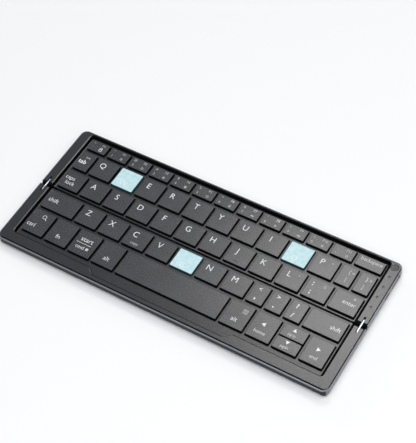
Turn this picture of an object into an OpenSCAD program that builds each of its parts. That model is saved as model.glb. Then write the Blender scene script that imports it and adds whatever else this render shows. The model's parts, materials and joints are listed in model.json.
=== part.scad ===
// Folding keyboard: two shallow trays of keys joined by a pair of double-pivot links.
// The origin is on the table, under the middle of the fold line. +X is to the typist's right,
// +Y to the rear and +Z up. It is drawn open and flat.

/* [Case] */
// Overall width of the lower cases
case_w = 209.6; // [209.2:0.1:210.2]
// Depth of each half, from the fold line to its outer edge
half_d = 44.2; // [44.1:0.1:44.6]
// Height of the lower cases' underside above the table
base_z = 0.8; // [0.6:0.1:1]
// Height of the lower case's rim
rim_z = 6.5; // [6.4:0.1:6.6]
// Thickness of the lower case's floor
floor_t = 1.0; // [0.9:0.1:1.1]
// Thickness of the lower case's walls
wall_t = 1.2; // [1.1:0.1:1.3]
// Height where the slanted undercut meets the upright side
undercut_z = 3.0; // [2.8:0.1:3.2]

/* [Frame] */
// Height of the top frame
frame_z = 7.1; // [7:0.05:7.2]
// How far the frame's outline stays inside the lower case's outline
frame_inset = 0.8; // [0.75:0.05:0.9]
// How far its front edge stays behind the lower case's front edge
frame_front_inset = 1.45; // [1.4:0.05:1.5]
// Width of the opening between the side bezels
opening_w = 196.2; // [196:0.1:196.4]
// Rear edge of the opening
opening_rear = 42.5; // [42.4:0.1:42.5]
// Front edge of the opening beside the dip
opening_front = 36.5; // [36.3:0.1:36.7]
// Depth of the shallow dip in front of the space bar
dip_d = 3.6; // [3:0.1:3.7]
// Half the width of the dip's straight stretch
dip_half_w = 40.6; // [38:0.2:43]
// Length along X of the S-curve at each end of the dip
dip_ramp = 6.2; // [4:0.1:7]
// Width of the slanted edge round the opening
slant_w = 0.5; // [0.4:0.1:0.6]
// Height of the slanted edge round the opening
slant_h = 0.4; // [0.3:0.1:0.5]
// Width of the slant along the narrow rear bezel
slant_rear_w = 0.3; // [0.2:0.1:0.4]

/* [Hinge] */
// Distance of each pivot from the fold line
pivot_y = 3.1; // [3.05:0.05:3.15]
// Height of the pivots above the table
pivot_z = 4.4; // [4.35:0.05:4.4]
// Radius of the rounded ends of the two halves about their pivots
fold_r = 2.95; // [2.9:0.05:2.95]
// Distance of the link plates from the middle
link_x = 101.35; // [101.2:0.05:101.5]
// Thickness of a link plate
link_t = 0.8; // [0.8:0.1:1.2]
// Radius of a link's rounded ends
link_r = 2.2; // [2.1:0.05:2.4]
// Radius of the hinge pins
pin_r = 0.8; // [0.7:0.05:0.8]

/* [Keys] */
// Distance from one letter key to the next
pitch = 16; // [15.9:0.1:16]
// Gap between neighbouring keys
key_gap = 2; // [1.9:0.1:2.1]
// Height of the keys' tops above the table
key_z = 6.9; // [6.8:0.05:6.95]
// Travel of a key
travel = 1.2; // [0.8:0.1:1.2]
// Corner radius of the keycaps
key_r = 0.5; // [0.4:0.05:0.6]
// Height of the grid that the keys stand in
deck_z = 5.4; // [5.3:0.05:5.5]

/* [Hidden] */
$fn = 48;
NUDGE = 0.01;          // overlap that joins pieces of one solid

// Case
case_r = 4;            // outer corners of the case
floor_z = base_z + floor_t;
frame_gap = 0.35;      // parting groove between the frame and the rim round it
lip_t = frame_inset - frame_gap;             // rim at the sides and the rear
lip_front = frame_front_inset - frame_gap;   // broader rim along the front
seat_z = rim_z - 0.9;  // ledge inside the rim, which carries the frame
side_x = case_w / 2;
inner_x = side_x - wall_t;

// Frame
frame_x = side_x - frame_inset;
frame_under_z = 4.8;   // underside of the frame, which clamps the key deck
frame_r = 3.2;
opening_x = opening_w / 2;
opening_r = 2;

// Deck: a raised grid that fills the opening, on a lower flange that runs under the frame
deck_gap = 0.15;       // clearance between the grid's front edge and the frame
deck_seam = 0.3;       // distance of the grid from the fold line
deck_x = 96.8;         // side edges of the grid, which leave a groove beside the frame
deck_rear = 41.3;      // rear edge of the grid
deck_r = 1.2;
skirt_x = 96.2;        // inner edge of the flange
skirt_front = 34.4;
skirt_rear = 40.8;
web_t = 1;
web_under_z = deck_z - web_t;
flange_t = 1;
flange_under_z = frame_under_z - flange_t;
flange_over = 0.9;     // how far the flange runs under the frame
flange_over_rear = 0.4;
opening_gap = 0.4;     // clearance round each key

// Keys
key_under_z = 3.9;
key_wall = 0.9;
key_roof_z = key_z - 0.8;
key_bevel = 0.2;
plunger_r = 1.5;
plunger_z = 5.85;
tab_out = 0.6;         // tabs that keep a key under the grid
tab_t = 0.5;
tab_l = 4;
tab_clear = 0.15;      // clearance round a tab on its way down
dome_r = 2.2;
dome_tip_r = 1.3;
dome_z = plunger_z - travel - 0.05;
sheet_z = floor_z + 0.3;
sheet_x = 96;
sheet_front = 33.5;
sheet_rear = 41;

// Rows of keys: [front edge, rear edge]
ROW_NUMBER = [32.9, 40.4];
ROW_Q = [17.35, 30.4];
ROW_A = [2.3, 14.8];
ROW_Z = [-14.5, -2.2];
ROW_SPACE = [-32.85, -17.15];
UP_ROW = [-24.6, -17.15];
DOWN_ROW = [-32.85, -25.4];

// Left and right ends of the rows, and where the letters start
row_left = -95.15;
row_right = 95.8;
letter_w = pitch - key_gap;
q_left = -83.85;
a_left = -79.7;
z_left = -71.65;
comma_left = z_left + 7 * pitch;
arrow_left = 50.55;
shift_left = 74.55;    // left edge of the right-hand shift key
space_left = -31.65;
Q_LETTERS = "qwertyuiop";
A_LETTERS = "asdfghjkl";
Z_LETTERS = "zxcvbnm";
PALE_LETTERS = ["w", "o", "b"];  // the three pale blue keys

// Single keys: [name, left edge, right edge, row]
WIDE_KEYS = [
    ["key_tab", row_left, q_left - key_gap, ROW_Q],
    ["key_caps_lock", row_left, a_left - key_gap, ROW_A],
    ["key_enter", a_left + 10 * pitch, row_right, ROW_A],
    ["key_left_shift", row_left, z_left - key_gap, ROW_Z],
    ["key_right_shift", shift_left, row_right, ROW_Z],
    ["key_space", space_left, arrow_left - pitch - key_gap, ROW_SPACE],
    ["key_left", arrow_left, arrow_left + letter_w, ROW_SPACE],
    ["key_up", arrow_left + pitch, arrow_left + pitch + letter_w, UP_ROW],
    ["key_down", arrow_left + pitch, arrow_left + pitch + letter_w, DOWN_ROW],
    ["key_right", arrow_left + 2 * pitch, row_right, ROW_SPACE]
];

function letters(word, left, row) =
    [for (i = [0:len(word) - 1])
        [str("key_", word[i]), left + i * pitch, left + i * pitch + letter_w, row]];

LETTER_KEYS = concat(letters(Q_LETTERS, q_left, ROW_Q), letters(A_LETTERS, a_left, ROW_A),
                     letters(Z_LETTERS, z_left, ROW_Z));

// The number row: a wide key at each end and eleven equal ones between them
number_pitch = 14.71;
number_first = -82.35;
number_right = 96.1;
NUMBER_KEYS = concat(
    [["", row_left, number_first - key_gap / 2, ROW_NUMBER]],
    [for (i = [0:10])
        ["", number_first + i * number_pitch + key_gap / 2,
         number_first + (i + 1) * number_pitch - key_gap / 2, ROW_NUMBER]],
    [["", number_first + 11 * number_pitch + key_gap / 2, number_right, ROW_NUMBER]]);

bracket_left = q_left + 10 * pitch;
bracket_w = (row_right - bracket_left - key_gap) / 2;
REAR_MARK_KEYS = [
    ["", bracket_left, bracket_left + bracket_w, ROW_Q],
    ["", row_right - bracket_w, row_right, ROW_Q],
    ["", a_left + 9 * pitch, a_left + 9 * pitch + letter_w, ROW_A]
];

comma_pitch = (shift_left - comma_left) / 3;
ctrl_right = -81.6;
MODIFIER_LEFTS = [-79.6, -63.6, -47.6, arrow_left - pitch];
FRONT_MARK_KEYS = concat(
    [for (i = [0:2])
        ["", comma_left + i * comma_pitch, comma_left + (i + 1) * comma_pitch - key_gap, ROW_Z]],
    [["", row_left, ctrl_right, ROW_SPACE]],
    [for (x = MODIFIER_LEFTS) ["", x, x + letter_w, ROW_SPACE]]);

SINGLE_KEYS = concat(LETTER_KEYS, WIDE_KEYS);
ALL_KEYS = concat(SINGLE_KEYS, NUMBER_KEYS, REAR_MARK_KEYS, FRONT_MARK_KEYS);

// Colours
GREY = [0.24, 0.25, 0.26];
KEY_GREY = [0.27, 0.28, 0.29];
PALE_BLUE = [0.72, 0.9, 0.91];
STEEL = [0.8, 0.8, 0.82];
BLACK = [0.05, 0.05, 0.06];
RUBBER_GREY = [0.3, 0.3, 0.31];

// ---------------------------------------------------------------- shared shapes

// Draws its children for the front half (side -1) or turned over the fold line for the rear (1).
module half(side) {
    if (side > 0) mirror([0, 1, 0]) children();
    else children();
}

// Repeats its children on the left and on the right.
module both_sides() {
    children();
    mirror([1, 0, 0]) children();
}

// A flat rectangle with round corners, from its low corner to its high corner.
module round_rect(x0, y0, x1, y1, r) {
    translate([x0 + r, y0]) square([x1 - x0 - 2 * r, y1 - y0]);
    translate([x0, y0 + r]) square([x1 - x0, y1 - y0 - 2 * r]);
    for (x = [x0 + r, x1 - r], y = [y0 + r, y1 - r]) translate([x, y]) circle(r = r);
}

// Lays a profile drawn in the Y-Z plane along X, from x0 to x1.
module along_x(x0, x1) {
    translate([x0, 0, 0]) rotate([90, 0, 90]) linear_extrude(x1 - x0) children();
}

// Lays a profile drawn in the X-Z plane along Y, from y0 to y1.
module along_y(y0, y1) {
    translate([0, y1, 0]) rotate([90, 0, 0]) linear_extrude(y1 - y0) children();
}

// Outline of one front half, with its corners rounded at the front only.
module half_outline(x, y, r) {
    translate([-x, -y + r]) square([2 * x, y - r]);
    translate([-x + r, -y]) square([2 * (x - r), r + NUDGE]);
    for (s = [-1, 1]) translate([s * (x - r), -y + r]) circle(r = r);
}

// The space that the front half may fill without meeting the rear half while they fold:
// the end nearest the fold line is round about the pivot above it and upright below it.
module fold_envelope() {
    along_x(-side_x - 1, side_x + 1) union() {
        translate([-60, -1]) square([60 - pivot_y, 12]);
        translate([-pivot_y - NUDGE, -1]) square([fold_r + NUDGE, pivot_z + 1]);
        translate([-pivot_y, pivot_z]) circle(r = fold_r);
    }
}

// A block with the outline of a half, whose lower edge is cut back at a slant.
module undercut_block(inset, z0, z1) {
    x = side_x - inset;
    y = half_d - inset;
    cut = undercut_z - z0;
    intersection() {
        translate([0, 0, z0]) linear_extrude(z1 - z0) half_outline(x, y, case_r - inset);
        along_x(-x, x) polygon([[0, z0], [0, z1], [-y, z1], [-y, undercut_z], [-y + cut, z0]]);
        along_y(-y, 0)
            polygon([[-x + cut, z0], [x - cut, z0], [x, undercut_z], [x, z1], [-x, z1],
                     [-x, undercut_z]]);
    }
}

// A quarter of a round corner, as points, from the given angle onwards.
function corner(x, y, r, from) =
    [for (i = [0:6]) [x + r * cos(from + 15 * i), y + r * sin(from + 15 * i)]];

// The S-curve at one end of the dip, as points from the front edge down into the dip.
function s_curve(side, y) =
    [for (i = [0:10]) let (u = i / 10)
        [side * (dip_half_w + dip_ramp * (1 - u)), y - dip_d * (1 - cos(180 * u)) / 2]];

function reverse(points) = [for (i = [len(points) - 1:-1:0]) points[i]];

// Outline of a half's opening, grown by gx at the sides and gy at its far edge. It is drawn on
// the front side of the fold line, and runs past that line by 1 mm.
function opening_points(side, gx, gy) =
    let (x = opening_x + gx,
         y = (side < 0 ? -opening_front : -opening_rear) - gy,
         r = opening_r)
    concat([[x, 1], [-x, 1]], corner(-x + r, y + r, r, 180),
           side < 0 ? s_curve(-1, y) : [], side < 0 ? reverse(s_curve(1, y)) : [],
           corner(x - r, y + r, r, 270));

module front_opening(grow) {
    polygon(opening_points(-1, grow, grow));
}

module rear_opening(grow) {
    polygon(opening_points(1, grow, grow));
}

// The hole that the frame leaves round a half's keys: upright below and slanted at the top edge.
module frame_opening(side) {
    over = 0.1;
    k = (slant_h + over) / slant_h;
    gy = side < 0 ? slant_w : slant_rear_w;
    low = opening_points(side, 0, 0);
    high = opening_points(side, slant_w * k, gy * k);
    n = len(low);
    polyhedron(
        points = concat([for (p = low) [p[0], p[1], frame_under_z - 1]],
                        [for (p = low) [p[0], p[1], frame_z - slant_h]],
                        [for (p = high) [p[0], p[1], frame_z + over]]),
        faces = concat([[for (i = [0:n - 1]) i]], [[for (i = [n - 1:-1:0]) 2 * n + i]],
                       [for (i = [0:n - 1]) [i, n + i, n + (i + 1) % n, (i + 1) % n]],
                       [for (i = [0:n - 1]) [n + i, 2 * n + i, 2 * n + (i + 1) % n]],
                       [for (i = [0:n - 1]) [n + i, 2 * n + (i + 1) % n, n + (i + 1) % n]]));
}

// ---------------------------------------------------------------- lower cases

hinge_in = 99.35;      // inner face of the hinge blocks
hinge_back = 7.6;      // how far the hinge blocks reach from the fold line
hinge_top = 6.1;
slot_w = link_t + 0.35;
slot_y = pivot_y + link_r + 0.15;
screw_spots = [[-100.9, -40.3], [100.9, -40.3], [-100.9, -9.4], [100.9, -9.4]];
screw_r = 0.6;
screw_head_r = 1.25;
head_t = 0.6;
screw_l = 3.4;
post_r = 1.4;
cross_l = 1.6;         // cross in a screw's head
cross_w = 0.3;
foot_x = 66;
foot_w = 36;
foot_d = 3.6;
foot_y = 37;
foot_sink = 0.3;
ledge_d = 0.9;
ledge_x = 101;
rail_x = 97.4;         // inner face of the rails under the deck's flange
rail_t = 0.9;

// Slots for the link plates, open at the top and at the fold line.
module link_slots() {
    both_sides()
        translate([link_x - slot_w / 2, -slot_y, pivot_z - link_r - 0.15])
            cube([slot_w, slot_y + 1, 8]);
}

// A ledge inside the front wall, which carries the frame's front edge.
module front_ledge() {
    translate([-ledge_x, -half_d + wall_t - NUDGE, undercut_z])
        cube([2 * ledge_x, ledge_d + NUDGE, seat_z - undercut_z]);
}

module hinge_blocks() {
    both_sides()
        translate([hinge_in, -hinge_back, floor_z - NUDGE])
            cube([inner_x + NUDGE - hinge_in, hinge_back, hinge_top - floor_z + NUDGE]);
}

module pin_bores() {
    both_sides()
        translate([hinge_in + 0.3, -pivot_y, pivot_z]) rotate([0, 90, 0])
            cylinder(r = pin_r + 0.01, h = inner_x - hinge_in - 0.3);
}

// Rails on the floor that carry the deck's flange.
module deck_rails(front_y) {
    rail_h = flange_under_z - floor_z + NUDGE;
    both_sides() translate([rail_x, -front_y, floor_z - NUDGE])
        cube([rail_t, front_y - 1, rail_h]);
    translate([-rail_x, -front_y, floor_z - NUDGE]) cube([2 * rail_x, rail_t, rail_h]);
}

module foot_shape(grow = 0) {
    both_sides() round_rect(foot_x - foot_w / 2 - grow, -foot_y - foot_d / 2 - grow,
                            foot_x + foot_w / 2 + grow, -foot_y + foot_d / 2 + grow,
                            foot_d / 2 + grow - NUDGE);
}

module case_shell(rail_y, rim_t, ledge) {
    difference() {
        intersection() {
            union() {
                difference() {
                    undercut_block(0, base_z, rim_z);
                    undercut_block(wall_t, floor_z, rim_z + 1);
                    translate([0, 0, seat_z]) linear_extrude(2)
                        half_outline(side_x - lip_t, half_d - rim_t, frame_r + frame_gap);
                }
                hinge_blocks();
                deck_rails(rail_y);
                if (ledge) front_ledge();
            }
            fold_envelope();
        }
        link_slots();
        pin_bores();
        for (p = screw_spots) translate([p[0], p[1], 0]) {
            cylinder(r = screw_r + 0.15, h = 5);
            translate([0, 0, base_z - NUDGE]) cylinder(r = screw_head_r + 0.1, h = head_t + NUDGE);
        }
        translate([0, 0, base_z - NUDGE]) linear_extrude(foot_sink + NUDGE) foot_shape(0.1);
    }
}

module front_case() {
    color(GREY) case_shell(skirt_front + 1.6, lip_front, true);
}

// ---------------------------------------------------------------- right-hand fittings of the rear half

port_y = 34.1;
port_z = 4.5;
port_w = 8.0;
port_h = 2.4;
shell_t = 0.35;
tongue_w = 6.4;
tongue_l = 3.2;
tongue_t = 0.7;
switch_y0 = 21.3;
switch_y1 = 26.1;
switch_z = 4.6;
switch_h = 1.4;
knob_l = 2.4;
knob_rim = 0.8;        // how far the slider's base runs past the knob
slider_x = 102.2;      // inner face of the slider's base
slider_z = 3.6;        // its underside, on top of the switch
board_z = 2.35;
board_t = 0.6;
board_rests = [16, 33];   // ribs on the floor that carry the board
board_x0 = 99.6;
board_x1 = 102.8;
board_y0 = 10.9;
board_y1 = 38.6;
led_t = 0.35;
lens_x = 100.9;
LENS_Y = [12.1, 19.3, 26.5];      // windows over lights on the board
PORT_LENS_Y = 33.7;               // window over the charging socket
pocket_z = 6.25;                  // roof of the pocket over the socket
lens_r = 0.5;
lens_hole_r = 0.65;
collar_t = 0.35;
pocket_x = 99.2;
pocket_w = 9.4;
slider_room_x = 101.4;    // pocket over the slider
slider_room = 1.4;
rib_x = 99.7;
rib_w = 2.2;
rib_t = 1.2;
bumper = [100.8, 40.2];
bumper_r = 2.1;

// A flat-sided round slot in the Y-Z plane.
module slot_yz(y, z, w, h) {
    translate([y - w / 2 + h / 2, z - h / 2]) square([w - h, h]);
    for (s = [-1, 1]) translate([y + s * (w - h) / 2, z]) circle(r = h / 2);
}

module rear_case() {
    color(GREY) difference() {
        union() {
            half(1) case_shell(skirt_rear + 1.1, lip_t, false);
            for (y = board_rests) translate([rib_x, y, floor_z - NUDGE])
                cube([rib_w, rib_t, board_z - floor_z + NUDGE]);
        }
        along_x(inner_x - 3, side_x + 1)
            slot_yz(port_y, port_z, port_w + 2 * shell_t + 0.1, port_h + 2 * shell_t + 0.1);
        along_x(inner_x - 0.5, side_x + 1)
            slot_yz((switch_y0 + switch_y1) / 2, switch_z, switch_y1 - switch_y0, switch_h);
    }
}

// ---------------------------------------------------------------- top frames

frame_step = 0.1;      // clearance between the frame and the case wall

// The frame's solid: a broad lip over the case wall and a narrower skirt inside it.
module frame_shell(side) {
    frame_y = half_d - (side < 0 ? frame_front_inset : frame_inset);
    skirt_y = half_d - wall_t - frame_step - (side < 0 ? ledge_d : 0);
    bevel = 0.3;
    intersection() {
        difference() {
            union() {
                translate([0, 0, seat_z]) linear_extrude(frame_z - seat_z)
                    half_outline(frame_x, frame_y, frame_r);
                translate([0, 0, frame_under_z]) linear_extrude(seat_z - frame_under_z + NUDGE)
                    half_outline(inner_x - frame_step, skirt_y, frame_r - 0.6);
            }
            frame_opening(side);
            both_sides() translate([hinge_in - 0.1, -hinge_back - 0.1, frame_under_z - 1])
                cube([inner_x - hinge_in + 0.2, hinge_back + 1, hinge_top - frame_under_z + 1]);
            link_slots();
        }
        fold_envelope();
        along_x(-side_x, side_x)
            polygon([[1, 0], [1, frame_z], [-frame_y + bevel, frame_z],
                     [-frame_y, frame_z - bevel], [-frame_y, 0]]);
        along_y(-half_d, 1)
            polygon([[-frame_x, 0], [frame_x, 0], [frame_x, frame_z - bevel],
                     [frame_x - bevel, frame_z], [-frame_x + bevel, frame_z],
                     [-frame_x, frame_z - bevel]]);
    }
}

// Posts that take the screws from below.
module screw_posts() {
    for (p = screw_spots) translate([p[0], p[1], floor_z]) difference() {
        cylinder(r = post_r, h = frame_under_z - floor_z + 0.2);
        translate([0, 0, -1]) cylinder(r = screw_r + 0.01, h = screw_l + 0.2);
    }
}

module front_frame() {
    color(GREY) {
        frame_shell(-1);
        screw_posts();
    }
}

module rear_frame() {
    color(GREY) difference() {
        union() {
            half(1) frame_shell(1);
            half(1) screw_posts();
        }
        translate([pocket_x, port_y - pocket_w / 2, frame_under_z - 1])
            cube([side_x - pocket_x, pocket_w, pocket_z - frame_under_z + 1]);
        translate([slider_room_x, switch_y0 - slider_room, frame_under_z - 1])
            cube([3, switch_y1 - switch_y0 + 2 * slider_room, 2]);
        for (y = concat(LENS_Y, [PORT_LENS_Y]))
            translate([lens_x, y, 0]) cylinder(r = lens_hole_r, h = 10);
        translate([bumper[0], bumper[1], frame_z - 0.7]) cylinder(r = bumper_r + 0.02, h = 2);
    }
}

// ---------------------------------------------------------------- key decks

// Openings of the keys that belong to one half.
module key_openings(side) {
    for (k = ALL_KEYS) if (k[3][0] * side > 0)
        translate([0, 0, web_under_z - 1]) linear_extrude(web_t + 2)
            round_rect(k[1] - opening_gap, k[3][0] - opening_gap, k[2] + opening_gap,
                       k[3][1] + opening_gap, key_r);
}

// Outline of one half's opening, drawn on the front side of the fold line.
module deck_outline(side, grow) {
    intersection() {
        if (side < 0) front_opening(grow);
        else rear_opening(grow);
        translate([-side_x, -half_d]) square([case_w, half_d - deck_seam]);
    }
}

// Room for the tabs of one half's keys on their way down.
module tab_slots(side) {
    for (k = ALL_KEYS) if (k[3][0] * side > 0)
        translate([k[1] - tab_out - tab_clear, middle(k)[1] - tab_l / 2 - tab_clear, 0])
            cube([k[2] - k[1] + 2 * (tab_out + tab_clear), tab_l + 2 * tab_clear, web_under_z]);
}

// A grid for the keys on a lower flange that the frame clamps. A groove runs between the grid and
// the frame, except along the front edge.
module deck(side, far_y) {
    grid_y = side < 0 ? half_d : deck_rear;
    difference() {
        union() {
            translate([0, 0, web_under_z]) linear_extrude(web_t) intersection() {
                deck_outline(side, -deck_gap);
                half_outline(deck_x, grid_y, deck_r);
            }
            difference() {
                translate([0, 0, flange_under_z]) linear_extrude(flange_t)
                    deck_outline(side, side < 0 ? flange_over : flange_over_rear);
                translate([-skirt_x, -far_y, 0]) cube([2 * skirt_x, half_d, frame_z]);
            }
        }
        half(side) {
            key_openings(side);
            tab_slots(side);
        }
        both_sides() translate([hinge_in - 0.2, -hinge_back - 0.2, 0]) cube([10, 20, 10]);
    }
}

module front_key_deck() {
    color(KEY_GREY) deck(-1, skirt_front);
}

module rear_key_deck() {
    color(KEY_GREY) half(1) deck(1, skirt_rear);
}

// ---------------------------------------------------------------- rubber domes

module dome(x, y) {
    translate([x, y, sheet_z - NUDGE]) cylinder(r1 = dome_r, r2 = dome_tip_r, h = dome_z - sheet_z + NUDGE);
}

function middle(k) = [(k[1] + k[2]) / 2, (k[3][0] + k[3][1]) / 2];

// A thin sheet with a dome under each key of one half.
module dome_sheet(side, far_y) {
    half(side) translate([-sheet_x, -far_y, floor_z])
        cube([2 * sheet_x, far_y - 1, sheet_z - floor_z]);
    for (k = ALL_KEYS) if (k[3][0] * side > 0) dome(middle(k)[0], middle(k)[1]);
}

module front_dome_sheet() {
    color(BLACK) dome_sheet(-1, sheet_front);
}

module rear_dome_sheet() {
    color(BLACK) dome_sheet(1, sheet_rear);
}

// ---------------------------------------------------------------- keys

// A hollow keycap with beveled top edges, a plunger over its dome and a tab at each side.
module keycap(k) {
    x0 = k[1];
    x1 = k[2];
    y0 = k[3][0];
    y1 = k[3][1];
    mid = middle(k);
    b = key_bevel;
    difference() {
        intersection() {
            translate([0, 0, key_under_z]) linear_extrude(key_z - key_under_z)
                round_rect(x0, y0, x1, y1, key_r);
            along_x(x0, x1)
                polygon([[y0, 0], [y1, 0], [y1, key_z - b], [y1 - b, key_z], [y0 + b, key_z],
                         [y0, key_z - b]]);
            along_y(y0, y1)
                polygon([[x0, 0], [x1, 0], [x1, key_z - b], [x1 - b, key_z], [x0 + b, key_z],
                         [x0, key_z - b]]);
        }
        translate([x0 + key_wall, y0 + key_wall, 0])
            cube([x1 - x0 - 2 * key_wall, y1 - y0 - 2 * key_wall, key_roof_z]);
    }
    translate([mid[0], mid[1], plunger_z])
        cylinder(r = plunger_r, h = key_roof_z - plunger_z + 0.1);
    for (x = [x0 - tab_out, x1 - 0.4])
        translate([x, mid[1] - tab_l / 2, key_under_z]) cube([tab_out + 0.4, tab_l, tab_t]);
}

function is_pale(name) = len([for (c = PALE_LETTERS) if (name == str("key_", c)) c]) > 0;

module single_key(k) {
    color(is_pale(k[0]) ? PALE_BLUE : KEY_GREY) keycap(k);
}

module number_row_keys() {
    color(KEY_GREY) for (k = NUMBER_KEYS) keycap(k);
}

module rear_punctuation_keys() {
    color(KEY_GREY) for (k = REAR_MARK_KEYS) keycap(k);
}

module front_small_keys() {
    color(KEY_GREY) for (k = FRONT_MARK_KEYS) keycap(k);
}

// ---------------------------------------------------------------- hinge

// A flat plate on edge: a round end about each pivot, trimmed flat along the top and bottom.
module hinge_links() {
    trim = link_r - 0.1;
    color(STEEL) both_sides() difference() {
        intersection() {
            along_x(link_x - link_t / 2, link_x + link_t / 2) union() {
                for (s = [-1, 1]) translate([s * pivot_y, pivot_z]) circle(r = link_r);
                translate([-pivot_y, pivot_z - trim]) square([2 * pivot_y, 2 * trim]);
            }
            translate([0, -20, pivot_z - trim]) cube([120, 40, 2 * trim]);
        }
        for (s = [-1, 1]) translate([0, s * pivot_y, pivot_z]) rotate([0, 90, 0])
            cylinder(r = pin_r + 0.05, h = 120);
    }
}

module hinge_pins() {
    color(STEEL) both_sides() translate([hinge_in + 0.4, -pivot_y, pivot_z]) rotate([0, 90, 0])
        cylinder(r = pin_r, h = inner_x - hinge_in - 0.5);
}

module front_hinge_pins() {
    hinge_pins();
}

module rear_hinge_pins() {
    half(1) hinge_pins();
}

// ---------------------------------------------------------------- inside parts

BATTERY_AT = [-94, -41.7];
BATTERY_SIZE = [44, 4.1, 2];

module battery() {
    color([0.55, 0.56, 0.58]) translate([BATTERY_AT[0], BATTERY_AT[1], floor_z])
        cube(BATTERY_SIZE);
}

module main_board() {
    top = board_z + board_t;
    color([0.1, 0.3, 0.2]) {
        translate([board_x0, board_y0, board_z])
            cube([board_x1 - board_x0, board_y1 - board_y0, board_t]);
        for (y = LENS_Y) translate([lens_x - 0.5, y - 0.4, top - NUDGE]) cube([1, 0.8, led_t + NUDGE]);
        translate([slider_x - 0.05, switch_y0 - 1, top - NUDGE])
            cube([1.1, switch_y1 - switch_y0 + 2, slider_z - top + NUDGE]);
    }
}

module charge_socket() {
    shell_w = port_w + 2 * shell_t;
    shell_h = port_h + 2 * shell_t;
    color(STEEL) {
        difference() {
            along_x(99.4, side_x - 0.3) slot_yz(port_y, port_z, shell_w, shell_h);
            along_x(100.4, side_x) slot_yz(port_y, port_z, port_w, port_h);
        }
        translate([100.3, port_y - tongue_w / 2, port_z - tongue_t / 2])
            cube([tongue_l, tongue_w, tongue_t]);
    }
}

module power_slider() {
    y = switch_y0 + 0.1;
    color(GREY) {
        along_x(slider_x + 0.5, side_x - 0.2) slot_yz(y + knob_l / 2, switch_z, knob_l, switch_h - 0.2);
        translate([slider_x, y - knob_rim, slider_z])
            cube([inner_x - 0.1 - slider_x, knob_l + 2 * knob_rim, 1.9]);
    }
}

// A clear post with a collar that seats under the frame.
module light_guide(y, z0, collar_z, z1) {
    translate([lens_x, y, z0]) {
        cylinder(r = lens_r, h = z1 - z0);
        cylinder(r = lens_r + collar_t, h = collar_z - z0);
    }
}

module indicator_lenses() {
    bottom = board_z + board_t + led_t;
    socket_top = port_z + port_h / 2 + shell_t;
    top = frame_z - 0.05;
    color([0.75, 0.78, 0.8]) {
        for (y = LENS_Y) light_guide(y, bottom, frame_under_z, top);
        light_guide(PORT_LENS_Y, socket_top, pocket_z, top);
    }
}

module corner_bumper() {
    color(RUBBER_GREY) translate([bumper[0], bumper[1], frame_z - 0.7])
        cylinder(r = bumper_r, h = 0.75);
}

module feet() {
    color(BLACK) linear_extrude(base_z + foot_sink) foot_shape();
}

module front_feet() {
    feet();
}

module rear_feet() {
    half(1) feet();
}

// Small cheese-head screws with a cross in the head.
module screws() {
    color(STEEL) for (p = screw_spots) translate([p[0], p[1], base_z]) difference() {
        union() {
            translate([0, 0, 0.05]) cylinder(r = screw_head_r, h = head_t - 0.05);
            cylinder(r = screw_r, h = screw_l);
        }
        for (a = [0, 90]) rotate([0, 0, a])
            translate([-cross_l / 2, -cross_w / 2, -1]) cube([cross_l, cross_w, 1.35]);
    }
}

module front_screws() {
    screws();
}

module rear_screws() {
    half(1) screws();
}

// ---------------------------------------------------------------- assembly

front_case();
rear_case();
front_frame();
rear_frame();
front_key_deck();
rear_key_deck();
front_dome_sheet();
rear_dome_sheet();
hinge_links();
front_hinge_pins();
rear_hinge_pins();
battery();
main_board();
charge_socket();
power_slider();
indicator_lenses();
corner_bumper();
front_feet();
rear_feet();
front_screws();
rear_screws();
number_row_keys();
rear_punctuation_keys();
front_small_keys();
for (k = SINGLE_KEYS) single_key(k);
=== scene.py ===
"""Dresses the folding keyboard: keycaps with printed legends, softened shells, hinge and fittings.

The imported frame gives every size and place. Lengths in this file are millimetres until a mesh is
made, where MM turns them into metres.
"""

from __future__ import annotations

import json
import logging
import math
from collections.abc import Iterator, Sequence
from dataclasses import dataclass, field
from enum import Enum

import bmesh
import bpy
from mathutils import Matrix, Vector


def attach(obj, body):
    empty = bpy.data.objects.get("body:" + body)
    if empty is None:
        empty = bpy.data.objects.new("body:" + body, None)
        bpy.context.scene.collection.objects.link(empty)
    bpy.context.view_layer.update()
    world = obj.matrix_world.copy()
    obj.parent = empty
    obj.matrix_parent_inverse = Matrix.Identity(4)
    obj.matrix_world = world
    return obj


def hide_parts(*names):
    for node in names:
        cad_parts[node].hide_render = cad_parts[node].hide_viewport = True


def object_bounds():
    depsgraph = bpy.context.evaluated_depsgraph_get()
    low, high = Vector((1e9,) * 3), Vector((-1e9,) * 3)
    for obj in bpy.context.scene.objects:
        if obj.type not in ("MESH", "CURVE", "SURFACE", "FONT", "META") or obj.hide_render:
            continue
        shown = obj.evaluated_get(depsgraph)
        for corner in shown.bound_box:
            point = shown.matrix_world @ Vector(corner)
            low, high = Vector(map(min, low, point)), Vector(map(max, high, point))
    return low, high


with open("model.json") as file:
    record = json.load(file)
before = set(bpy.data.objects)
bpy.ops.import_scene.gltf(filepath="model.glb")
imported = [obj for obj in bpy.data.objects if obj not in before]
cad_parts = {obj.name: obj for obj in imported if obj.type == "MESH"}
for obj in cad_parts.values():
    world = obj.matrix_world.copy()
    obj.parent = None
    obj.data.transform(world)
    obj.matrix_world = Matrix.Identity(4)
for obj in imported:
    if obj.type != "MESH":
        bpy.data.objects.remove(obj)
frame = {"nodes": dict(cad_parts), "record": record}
CAD_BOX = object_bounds()

LOG = logging.getLogger("keyboard")
MM = 0.001
Mesh = bmesh.types.BMesh
Face = bmesh.types.BMFace
Edge = bmesh.types.BMEdge

# ------------------------------------------------------------------------------------------------
# Shader maths


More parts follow.
